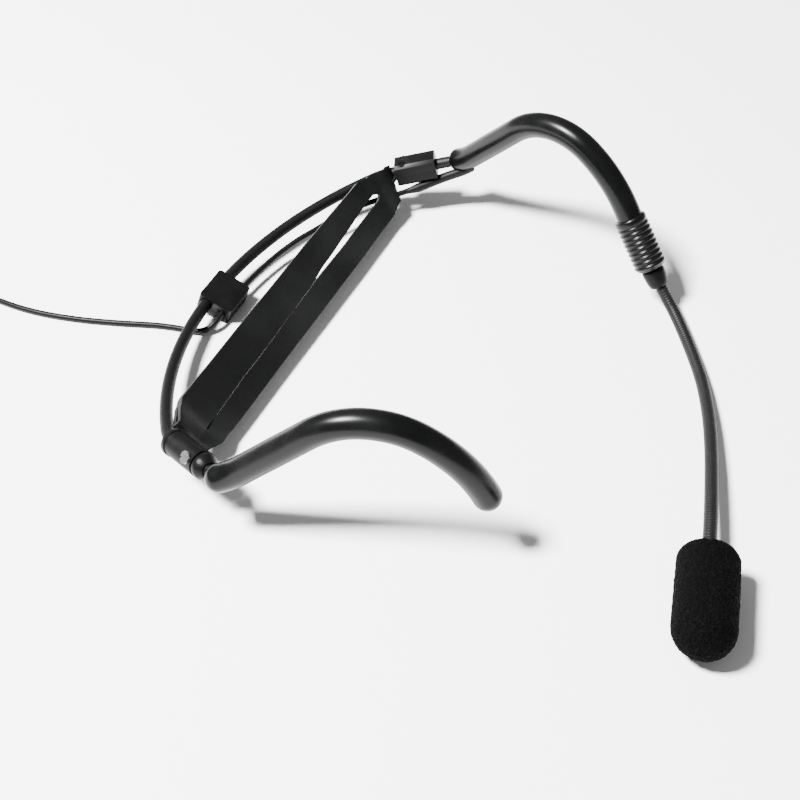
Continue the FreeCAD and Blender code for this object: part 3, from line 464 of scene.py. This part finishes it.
# %% [markdown]
# ## Turned pieces
# The foam, the ribbed suspension and the boot are round about an axis. Each starts as a
# small plane that is merged to one point. The point is extruded along an outline, which
# gives the distance along the axis and the radius, and the outline is spun into a closed
# shape. A spin leaves doubles at its seam and can leave faces pointing inwards, so the
# doubles are merged and the normals recalculated.

# %% Spin an outline into a piece
def turned(name, outline, foot, axis, steps=48):
    """Spin an outline of (distance, radius) points in millimetres about an axis."""
    points = [Vector((radius * mm, 0.0, distance * mm)) for distance, radius in outline]
    bpy.ops.object.select_all(action="DESELECT")
    bpy.ops.mesh.primitive_plane_add(size=mm, calc_uvs=False, location=(0, 0, 0))
    piece = bpy.context.active_object
    piece.name = piece.data.name = name
    bpy.ops.object.mode_set(mode="EDIT")
    bpy.ops.mesh.select_all(action="SELECT")
    bpy.ops.mesh.merge(type="CENTER")
    bpy.ops.transform.translate(value=points[0])
    for start, end in zip(points, points[1:]):
        bpy.ops.mesh.extrude_vertices_move(TRANSFORM_OT_translate={"value": end - start})
    bpy.ops.mesh.select_all(action="SELECT")
    bpy.ops.mesh.spin(steps=steps, angle=math.tau, center=(0, 0, 0), axis=(0, 0, 1))
    bpy.ops.mesh.select_all(action="SELECT")
    bpy.ops.mesh.remove_doubles(threshold=0.00002)
    bpy.ops.mesh.normals_make_consistent(inside=False)
    bpy.ops.object.mode_set(mode="OBJECT")
    piece.location = Vector(foot) * mm
    piece.rotation_euler = Vector(axis).to_track_quat("Z", "Y").to_euler()
    bpy.ops.object.transform_apply(location=True, rotation=True, scale=True)
    smooth(piece, 40)
    return piece


# %% [markdown]
# ## The ribbed suspension
# A soft sleeve joins the far ear hook to the boom and keeps knocks away from the
# microphone. Nine rounded ribs run round it. One rib is drawn as eight points of the
# outline, and a loop repeats them at an even pitch.

# %% Turn the ribbed sleeve
sleeve_top = Vector((26.023, 62.698, 28.950))
sleeve_axis = Vector((0.57698, -0.20369, -0.79095))
rib_pitch = 1.72
first_rib = 3.35
rib_profile = ((-0.62, 4.92), (-0.5, 5.1), (-0.3, 5.27), (0.0, 5.32),
               (0.3, 5.27), (0.5, 5.1), (0.62, 4.92), (0.86, 4.84))
sleeve_outline = [(2.0, 0.0), (2.0, 4.22), (0.0, 4.24), (0.0, 4.7), (0.25, 5.05), (0.8, 5.24),
                  (1.5, 5.28), (2.1, 5.2), (2.5, 4.98)]
for rib in range(9):
    middle = first_rib + rib_pitch * rib
    sleeve_outline += [(middle + across, radius) for across, radius in rib_profile]
sleeve_outline += [(18.3, 4.7), (18.5, 4.5), (18.5, 3.36), (11.6, 3.36), (11.6, 0.0)]
suspension = turned("ribbed_suspension", sleeve_outline, sleeve_top, sleeve_axis)
finish(suspension, ribbed_rubber, "far_hook", "ribbed_rubber", "suspension_sleeve")

# %% [markdown]
# ## The boot and the gooseneck
# The boot tapers from the suspension to the boom. The boom is a bendable tube with a fine
# helical wrap that can just be felt. Its line is a smooth curve, and rings of points along
# that curve carry the wrap: each point's radius follows how far along and round it is.

# %% Turn the boot
boot_start = Vector((37.130, 58.777, 13.724))
boot_outline = [(-6.0, 0.0), (-6.0, 2.2), (-5.8, 2.4), (0.0, 2.4), (0.0, 3.3), (0.2, 3.65),
                (0.6, 3.79), (1.6, 3.78), (3.0, 3.66), (4.4, 3.46), (5.4, 3.25), (6.0, 3.0),
                (6.35, 2.6), (6.5, 2.1), (6.3, 1.6), (6.3, 0.0)]
boot = turned("boom_root", boot_outline, boot_start, sleeve_axis)
finish(boot, joint_plastic, "boom", "joint_plastic", "boom_boot")


# %% Lay rings of points along a line
def tube(name, line, radius_at, sides):
    """A tube along a line of points; radius_at takes the distance and the angle."""
    rows = []
    ahead = (line[1] - line[0]).normalized()
    across = ahead.orthogonal().normalized()
    travelled = 0.0
    for number, point in enumerate(line):
        before = line[max(number - 1, 0)]
        after = line[min(number + 1, len(line) - 1)]
        heading = (after - before).normalized()
        across = (across - heading * across.dot(heading)).normalized()
        aside = heading.cross(across)
        travelled += (point - before).length
        row = []
        for step in range(sides):
            angle = math.tau * step / sides
            reach = radius_at(travelled, angle)
            row.append(point + (across * math.cos(angle) + aside * math.sin(angle)) * reach)
        rows.append(row)
    points = [point for row in rows for point in row]
    faces = []
    for number in range(len(rows) - 1):
        for step in range(sides):
            after = (step + 1) % sides
            faces.append((number * sides + step, number * sides + after,
                          (number + 1) * sides + after, (number + 1) * sides + step))
    faces.append(tuple(reversed(range(sides))))
    faces.append(tuple(range(len(points) - sides, len(points))))
    data = bpy.data.meshes.new(name)
    data.from_pydata(points, [], faces)
    piece = bpy.data.objects.new(name, data)
    bpy.context.scene.collection.objects.link(piece)
    smooth(piece, 50)
    return piece


# %% Wrap the gooseneck
boom_route = [(38.57, 58.27, 11.75), (44.08, 56.25, 5.2), (48.68, 52.05, 3.1),
              (56.08, 41.45, 2.15), (64.48, 26.85, 2.7), (70.58, 11.75, 4.2),
              (75.38, -3.75, 6.0), (79.78, -20.95, 7.7), (83.18, -34.95, 8.7),
              (85.28, -44.55, 8.7)]
wrap_pitch = 1.0 * mm
wrap_height = 0.09
boom_line = nurbs_line("boom_line", boom_route)
boom_points = spaced(line_points(boom_line), 0.25 * mm)
bpy.data.objects.remove(boom_line)


def wrap_radius(travelled, angle):
    """About two millimetres, with a shallow helical wrap."""
    turn = travelled / wrap_pitch * math.tau - angle
    return (1.93 + wrap_height * math.cos(turn)) * mm


gooseneck = tube("gooseneck", boom_points, wrap_radius, sides=24)
finish(gooseneck, gooseneck_coat, "boom", "gooseneck_coat", "boom_gooseneck")

# %% [markdown]
# ## The ear hooks
# Each hook is a spring wire inside a soft padded tube. It rises, runs forward over the ear
# and curls down behind it. The line is worked out from bends in one upright plane. The
# padding is never quite even, so slow noise moves its surface by less than a tenth of a
# millimetre.

# %% A line of bends in one plane
def bent_line(start, toe, side, pitch, bends, step=0.8):
    """Points along straight runs (length,) and bends (radius, turn) in an upright plane."""
    ahead = Vector((math.cos(toe), -side * math.sin(toe), 0))
    up = Vector((0, 0, 1))
    angle = math.radians(pitch)
    place = Vector(start)
    points = [place.copy()]
    for bend in bends:
        length = bend[0] if len(bend) == 1 else bend[0] * math.radians(abs(bend[1]))
        count = max(int(length / step), 1)
        for _ in range(count):
            turn = 0.0 if len(bend) == 1 else math.radians(bend[1]) / count
            angle += turn / 2
            place = place + (ahead * math.cos(angle) + up * math.sin(angle)) * length / count
            angle += turn / 2
            points.append(place.copy())
    return [point * mm for point in points]


# %% Pad the two hooks
padding_radius = 4.2
hook_bends = [(27.3, 16.3), (26.2,), (24.95, -72.6), (47.6, -33.3)]
near_line = bent_line((-43.350, -83.048, 19.278), math.radians(18.2), -1, 23.7, hook_bends)
far_line = bent_line((-43.350, 83.048, 19.278), math.radians(16.4), 1, 28.3, hook_bends)


def lengthened(line, before, after):
    """Add finely spaced rings past the ends, where the padding rounds off."""
    first = (line[0] - line[1]).normalized()
    last = (line[-1] - line[-2]).normalized()
    shares = [0.0, 0.03, 0.08, 0.16, 0.27, 0.4, 0.55, 0.72, 0.88]
    front = [line[0] + first * before * mm * (1 - share) for share in shares]
    back = [line[-1] + last * after * mm * (1 - share) for share in reversed(shares)]
    return front + line + (back if after else [])


def rounded_end(share):
    """A quarter circle: nothing at the tip and one where the end is full."""
    return math.sqrt(max(1 - (1 - min(share, 1.0)) ** 2, 0.0))


def padded_radius(before, whole, after):
    """The padding's radius: round at its free ends and nearly even between."""
    def radius(travelled, angle):
        rounding = rounded_end(travelled / (before * mm))
        if after:
            rounding *= rounded_end(max(whole - travelled, 0.0) / (after * mm))
        slow = noise.noise(Vector((travelled * 90, math.cos(angle), math.sin(angle))))
        unevenness = 0.05 * mm * (slow - 0.6) * rounding
        return max(padding_radius * mm * rounding, 0.05 * mm) + unevenness
    return radius


for side, line, before, after in (("near", near_line, 4.0, 4.2), ("far", far_line, 3.0, 0.0)):
    long_line = lengthened(line, before, after)
    whole = sum((b - a).length for a, b in zip(long_line, long_line[1:]))
    hook = tube(side + "_hook_padding", long_line, padded_radius(before, whole, after), sides=40)
    finish(hook, tube_rubber, side + "_hook", "tube_rubber", side + "_hook_tube")

# %% [markdown]
# ## The lead's rubber sleeve at the far joint
# The microphone's lead runs along the neckband and goes up into the far ear hook through a
# thicker rubber sleeve. The sleeve crosses the hook's swivel. It is made as one tube and baked
# in place, and is not attached to the neckband or the hook.

# %% Sleeve the lead
lead_sleeve_line = nurbs_line("lead_sleeve_line", [
    (-58.6, 70.5, 9.1), (-54.8, 73.2, 10.1), (-51.0, 76.2, 11.7), (-47.0, 78.6, 13.5),
    (-42.8, 80.3, 15.4), (-39.4, 81.2, 17.3), (-37.4, 81.6, 19.0)])
lead_sleeve_points = spaced(line_points(lead_sleeve_line), 0.4 * mm)
bpy.data.objects.remove(lead_sleeve_line)


def lead_sleeve_radius(travelled, angle):
    """Thin where it grips the lead, thicker towards the hook."""
    share = min(travelled / (5.0 * mm), 1.0)
    return (1.06 + 0.62 * share * share * (3 - 2 * share)) * mm


lead_sleeve = tube("lead_sleeve", lead_sleeve_points, lead_sleeve_radius, sides=24)
lead_sleeve.data.materials.append(sleeve_rubber)
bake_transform(lead_sleeve)
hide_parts("lead_gland")
print("lead sleeve rings:", len(lead_sleeve_points))

# %% [markdown]
# ## The strap
# The strap is one leather band with a long slit, so that it spreads over the back of the
# head. Each end folds round at the joint and is fastened down behind. It is made as
# a sheet of points in two bands, above and below the slit, and merged where the slit is
# closed. Then it gets its thickness and its softened edges.

# %% The strap's own directions and outline
strap_thickness = 1.5 * mm
fold_radius = 1.62
strap_middle = Vector((-65.1, 0.0, 10.8))
strap_lean = math.radians(42.8)
strap_up = Vector((-math.cos(strap_lean), 0, math.sin(strap_lean)))
strap_face = Vector((math.sin(strap_lean), 0, math.cos(strap_lean)))


def along_table(table, place):
    """Read a value between the rows of a small table."""
    if place <= table[0][0]:
        return table[0][1]
    for (left, low), (right, high) in zip(table, table[1:]):
        if place <= right:
            share = (place - left) / (right - left)
            return low + (high - low) * share * share * (3 - 2 * share)
    return table[-1][1]


upper_edge = [(-66.5, 5.6), (-62.5, 7.8), (-58.0, 8.8), (-48.3, 8.9), (-11.6, 9.3), (22.9, 9.7),
              (57.0, 9.6), (63.0, 8.2), (69.0, 5.2)]
lower_edge = [(-66.0, -7.4), (-61.0, -9.3), (-50.2, -9.5), (-11.5, -9.1), (24.7, -8.8),
              (59.0, -8.4), (65.0, -6.8)]
slit_height = [(-62.0, -3.0), (-33.9, -2.1), (3.5, -1.1), (18.6, -0.2), (60.0, 1.0)]
slit_opening = [(-62.4, 0.0), (-61.4, 0.34), (-60.0, 0.3), (-57.0, 0.09), (-4.0, 0.09),
                (9.0, 0.12), (20.0, 0.55), (36.0, 1.0), (52.0, 1.35), (59.0, 1.4), (62.6, 0.0)]


# %% Lay out the sheet
def strap_point(length, width, depth):
    return (strap_middle + Vector((0, 1, 0)) * length + strap_up * width
            + strap_face * depth) * mm


def fold_at(side, width):
    """How far out the fold lies: curved at the near end, slanted at the far end."""
    if side > 0:
        return 68.6 + (0.45 if width > 0 else 0.5) * width
    if width > 0:
        return 65.6 + 0.4 * width - 0.03 * width * width
    return 65.6 - 2.2 * (width / 8.0) ** 2


def lift_at(length, width):
    """The strap's ends rise a little where they lie over the neckband."""
    reach = min(max((abs(length) - 58.0) / 9.0, 0.0), 1.0)
    share = min(max((width + 3.0) / 8.0, 0.0), 1.0)
    return 1.9 * reach * reach * (3 - 2 * reach) * share


def sheet_place(kind, value, side, width):
    """The length and depth of one point of the sheet."""
    fold = fold_at(side or value, width)
    if kind == "turn":
        return (side * (fold + fold_radius * abs(math.cos(value))),
                fold_radius * math.sin(value))
    if kind == "under":
        return side * min(abs(value), fold), -fold_radius
    reach = fold - abs(value)
    if reach <= 0:
        return math.copysign(fold + 0.01 * (abs(value) - fold), value), fold_radius
    rise = max(0.0, 1 - reach / 7.0)
    return value, fold_radius * rise * rise * (3 - 2 * rise)


columns = [("under", -54.0 - n, -1) for n in range(10)]
columns += [("turn", math.radians(-90 + 18 * n), -1) for n in range(1, 10)]
place = -63.2
while place < 67.0:
    columns.append(("front", place, 0))
    place += 0.8 if abs(place) > 50 else 1.28
columns += [("turn", math.radians(90 - 18 * n), 1) for n in range(1, 10)]
columns += [("under", 65.8 - n * 0.7, 1) for n in range(5)]
print("columns in the strap:", len(columns))


# %% Make the strap from its sheet
def strap_mesh():
    """Two bands of points across every column, merged where the slit is closed."""
    build = bmesh.new()
    before = None
    shares = [0.0, 0.06, 0.2, 0.4, 0.6, 0.8, 0.94, 1.0]
    for kind, value, side in columns:
        if kind == "front":
            length = value
        else:
            length = side * (abs(value) if kind == "under" else 67.5)
        slim = 0.0 if kind == "front" else 0.12
        top = along_table(upper_edge, length) - slim
        bottom = along_table(lower_edge, length) + slim
        middle = along_table(slit_height, length)
        opening = along_table(slit_opening, length) if kind == "front" else 0.0
        row = []
        for low, high in ((bottom, middle - opening), (middle + opening, top)):
            band = []
            for share in shares:
                width = low + (high - low) * share
                run, depth = sheet_place(kind, value, side, width)
                wave = 0.12 * math.sin(run / 17.0) if kind == "front" else 0.0
                lift = lift_at(run, width)
                band.append(build.verts.new(strap_point(run, width, depth + wave + lift)))
            row.append(band)
        if before:
            for old, new in zip(before, row):
                for step in range(len(shares) - 1):
                    build.faces.new((old[step], new[step], new[step + 1], old[step + 1]))
        before = row
    bmesh.ops.remove_doubles(build, verts=build.verts[:], dist=0.00003)
    data = bpy.data.meshes.new("strap")
    build.to_mesh(data)
    build.free()
    return data


strap = bpy.data.objects.new("strap", strap_mesh())
bpy.context.scene.collection.objects.link(strap)
only(strap)
bpy.ops.object.mode_set(mode="EDIT")
bpy.ops.mesh.select_all(action="SELECT")
bpy.ops.mesh.normals_make_consistent(inside=False)
bpy.ops.object.mode_set(mode="OBJECT")
wall = strap.modifiers.new("thickness", "SOLIDIFY")
wall.thickness = strap_thickness
wall.offset = 0.0
wall.use_even_offset = False
edge = strap.modifiers.new("soft edge", "BEVEL")
edge.width = 0.4 * mm
edge.segments = 3
edge.limit_method = "ANGLE"
edge.angle_limit = math.radians(50)
apply_modifiers(strap)
smooth(strap, 60)
finish(strap, strap_leather, "neckband", "strap_leather", "strap_upper_band",
       "strap_lower_band", "strap_near_hem", "strap_far_hem")

# %% [markdown]
# ## The foam windscreen
# The windscreen is a plug of open-cell foam with round ends, bored to fit the microphone.
# It is spun, divided finely and then pushed in and out by cloud noise, because real foam
# has no smooth skin. The shader adds the cells, which are too many to model, with painted
# shade in their middles and lighter struts between them.

# %% Turn the foam and roughen it
mic_axis = Vector((0.21370, -0.97690, 0.0))
foam_start = Vector((85.067, -43.570, 8.7))
foam_length, radius, bore, rim = 33.0, 8.6, 3.72, 3.4
foam_outline = [(17.0, 0.0), (17.0, bore), (14.0, bore), (11.0, bore), (8.0, bore), (5.0, bore),
                (2.5, bore), (1.0, bore + 0.1), (0.3, bore + 0.45), (0.0, bore + 1.0)]
foam_outline += [(rim - rim * math.cos(turn), radius - rim + rim * math.sin(turn))
                 for turn in (math.radians(10 * n) for n in range(1, 10))]
foam_outline += [(rim + n * 1.27, radius) for n in range(1, 17)]
foam_outline += [(foam_length - radius + radius * math.sin(turn), radius * math.cos(turn))
                 for turn in (math.radians(6 * n) for n in range(1, 16))]
foam = turned("foam", foam_outline, foam_start, mic_axis, steps=72)
clouds = bpy.data.textures.new("foam clouds", "CLOUDS")
clouds.noise_scale = 1.1 * mm
clouds.noise_depth = 2
finer = foam.modifiers.new("finer", "SUBSURF")
finer.levels = finer.render_levels = 1
rough = foam.modifiers.new("rough", "DISPLACE")
rough.texture = clouds
rough.texture_coords = "LOCAL"
rough.strength = 0.55 * mm
rough.mid_level = 0.62
apply_modifiers(foam)
smooth(foam, 80)
finish(foam, windscreen_foam, "windscreen", "windscreen_foam", "foam_windscreen")

# %% [markdown]
# ## Softened edges
# Moulded and turned parts never have knife edges. These solids have the right shape, so
# each is copied, its loose triangles are merged, flat faces are joined, and the sharp edges
# get a small round.

# %% Round the edges of the joints, the clip and the plug
def rounded_copy(node, name, material, slot, body, width):
    """A copy of a solid with its sharp edges rounded, standing for that solid."""
    piece = bpy.data.objects.new(name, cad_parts[node].data.copy())
    bpy.context.scene.collection.objects.link(piece)
    only(piece)
    bpy.ops.object.mode_set(mode="EDIT")
    bpy.ops.mesh.select_all(action="SELECT")
    bpy.ops.mesh.remove_doubles(threshold=0.000002)
    bpy.ops.mesh.dissolve_limited(angle_limit=math.radians(1.5))
    bpy.ops.object.mode_set(mode="OBJECT")
    edge = piece.modifiers.new("round", "BEVEL")
    edge.width = width * mm
    edge.segments = 3
    edge.limit_method = "ANGLE"
    edge.angle_limit = math.radians(40)
    edge.use_clamp_overlap = True
    apply_modifiers(piece)
    smooth(piece, 30)
    return finish(piece, material, body, slot, node)


plastic = (joint_plastic, "joint_plastic")
for node, name, (material, slot), body, width in (
        ("near_joint_barrel", "near_barrel", plastic, "neckband", 0.35),
        ("near_collar", "near_turning_collar", plastic, "near_hook", 0.5),
        ("far_block_cover", "far_cover", plastic, "neckband", 0.3),
        ("far_block_base", "far_base", plastic, "neckband", 0.3),
        ("clip_upper_half", "clip_top", plastic, "cable_clip", 0.3),
        ("clip_lower_half", "clip_bottom", plastic, "cable_clip", 0.3),
        ("latch_button", "latch_pad", plastic, "latch", 0.25),
        ("plug_shell", "plug_case", (plug_metal, "plug_metal"), "neckband", 0.2),
        ("plug_boot", "plug_strain_relief", (sleeve_rubber, "sleeve_rubber"), "neckband", 0.2),
        ("coil_tie", "tie", (tie_fabric, "tie_fabric"), "neckband", 0.25)):
    rounded_copy(node, name, material, slot, body, width)


# %% [markdown]
# ## Solids that stay
# The solids whose shape is already right keep it and only get a finish. Many of them are
# inside, such as the spring wire and the microphone's capsule, and show only in a cutaway.

# %% Dress the solids
dressed = {"neckband_wire": spring_steel, "near_hook_core": spring_steel,
           "far_hook_core": spring_steel, "boom_core": copper_core,
           "neckband_sleeve": sleeve_rubber, "near_joint_barrel": joint_plastic,
           "near_clamp_screw": bright_steel, "far_block_cover": joint_plastic,
           "far_block_base": joint_plastic, "far_block_screws": black_steel,
           "near_swivel_stud": black_steel, "near_collar": joint_plastic,
           "far_swivel_stud": black_steel, "near_hook_tube": tube_rubber,
           "far_hook_tube": tube_rubber, "hook_inner_lead": cable_jacket,
           "suspension_sleeve": ribbed_rubber, "suspension_bush": joint_plastic,
           "boom_boot": joint_plastic, "boom_gooseneck": gooseneck_coat,
           "mic_housing": black_steel, "mic_grille": black_steel,
           "mic_capsule": capsule_metal, "mic_gasket": sleeve_rubber,
           "capsule_carrier": insulator_plastic, "foam_windscreen": windscreen_foam,
           "strap_upper_band": strap_leather, "strap_lower_band": strap_leather,
           "strap_near_hem": strap_leather, "strap_far_hem": strap_leather,
           "mic_lead": cable_jacket, "lead_gland": sleeve_rubber,
           "clip_upper_half": joint_plastic, "clip_lower_half": joint_plastic,
           "free_cable": cable_jacket, "cable_coil": cable_jacket, "coil_tie": tie_fabric,
           "cable_tail": cable_jacket, "plug_boot": sleeve_rubber, "plug_shell": plug_metal,
           "plug_insulator": insulator_plastic, "plug_contacts": contact_brass,
           "latch_button": joint_plastic}
for node, material in dressed.items():
    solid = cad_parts[node]
    solid.data.materials.clear()
    solid.data.materials.append(material)
print("dressed", len(dressed), "solids of", len(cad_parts))

# %% Dress the cable and list the pieces that sit on it
finish(cable, cable_jacket, "neckband", "cable_jacket", "free_cable", "cable_coil",
       "cable_tail")
on_the_cable = [bpy.data.objects[name] for name in ("tie", "plug_strain_relief", "plug_case",
                                                    "latch_pad")]
on_the_cable += [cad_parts[name] for name in ("plug_insulator", "plug_contacts")]

# %% [markdown]
# ## The table and the light
# The headset lies on a plain white table. One square lamp hangs high above, behind the
# wearer's right side, and throws soft shadows. A pale sky fills in the rest.

# %% Lay the table and set the lights
bpy.ops.object.select_all(action="DESELECT")
bpy.ops.mesh.primitive_plane_add(size=6.0, location=(0, 0, 0))
table = bpy.context.active_object
table.name = "table"
table_paint = bpy.data.materials.new("table_paint")
table_paint.use_nodes = True
table_shader = table_paint.node_tree.nodes["Principled BSDF"]
table_shader.inputs["Base Color"].default_value = grey(0.93)
table_shader.inputs["Roughness"].default_value = 0.9
table_shader.inputs["Specular IOR Level"].default_value = 0.1
table.data.materials.append(table_paint)


def add_light(name, place, aim, size, power):
    """A square lamp that faces a point."""
    data = bpy.data.lights.new(name, "AREA")
    data.size = size
    data.energy = power
    lamp = bpy.data.objects.new(name, data)
    lamp.location = place
    lamp.rotation_euler = (Vector(aim) - Vector(place)).to_track_quat("-Z", "Y").to_euler()
    bpy.context.scene.collection.objects.link(lamp)


add_light("key", (-0.50, -0.36, 1.02), (0, 0, 0.02), 0.23, 108.0)
sky = bpy.data.worlds.new("sky")
bpy.context.scene.world = sky
sky.use_nodes = True
sky.node_tree.nodes["Background"].inputs["Color"].default_value = (1, 1, 1, 1)
sky.node_tree.nodes["Background"].inputs["Strength"].default_value = 0.32
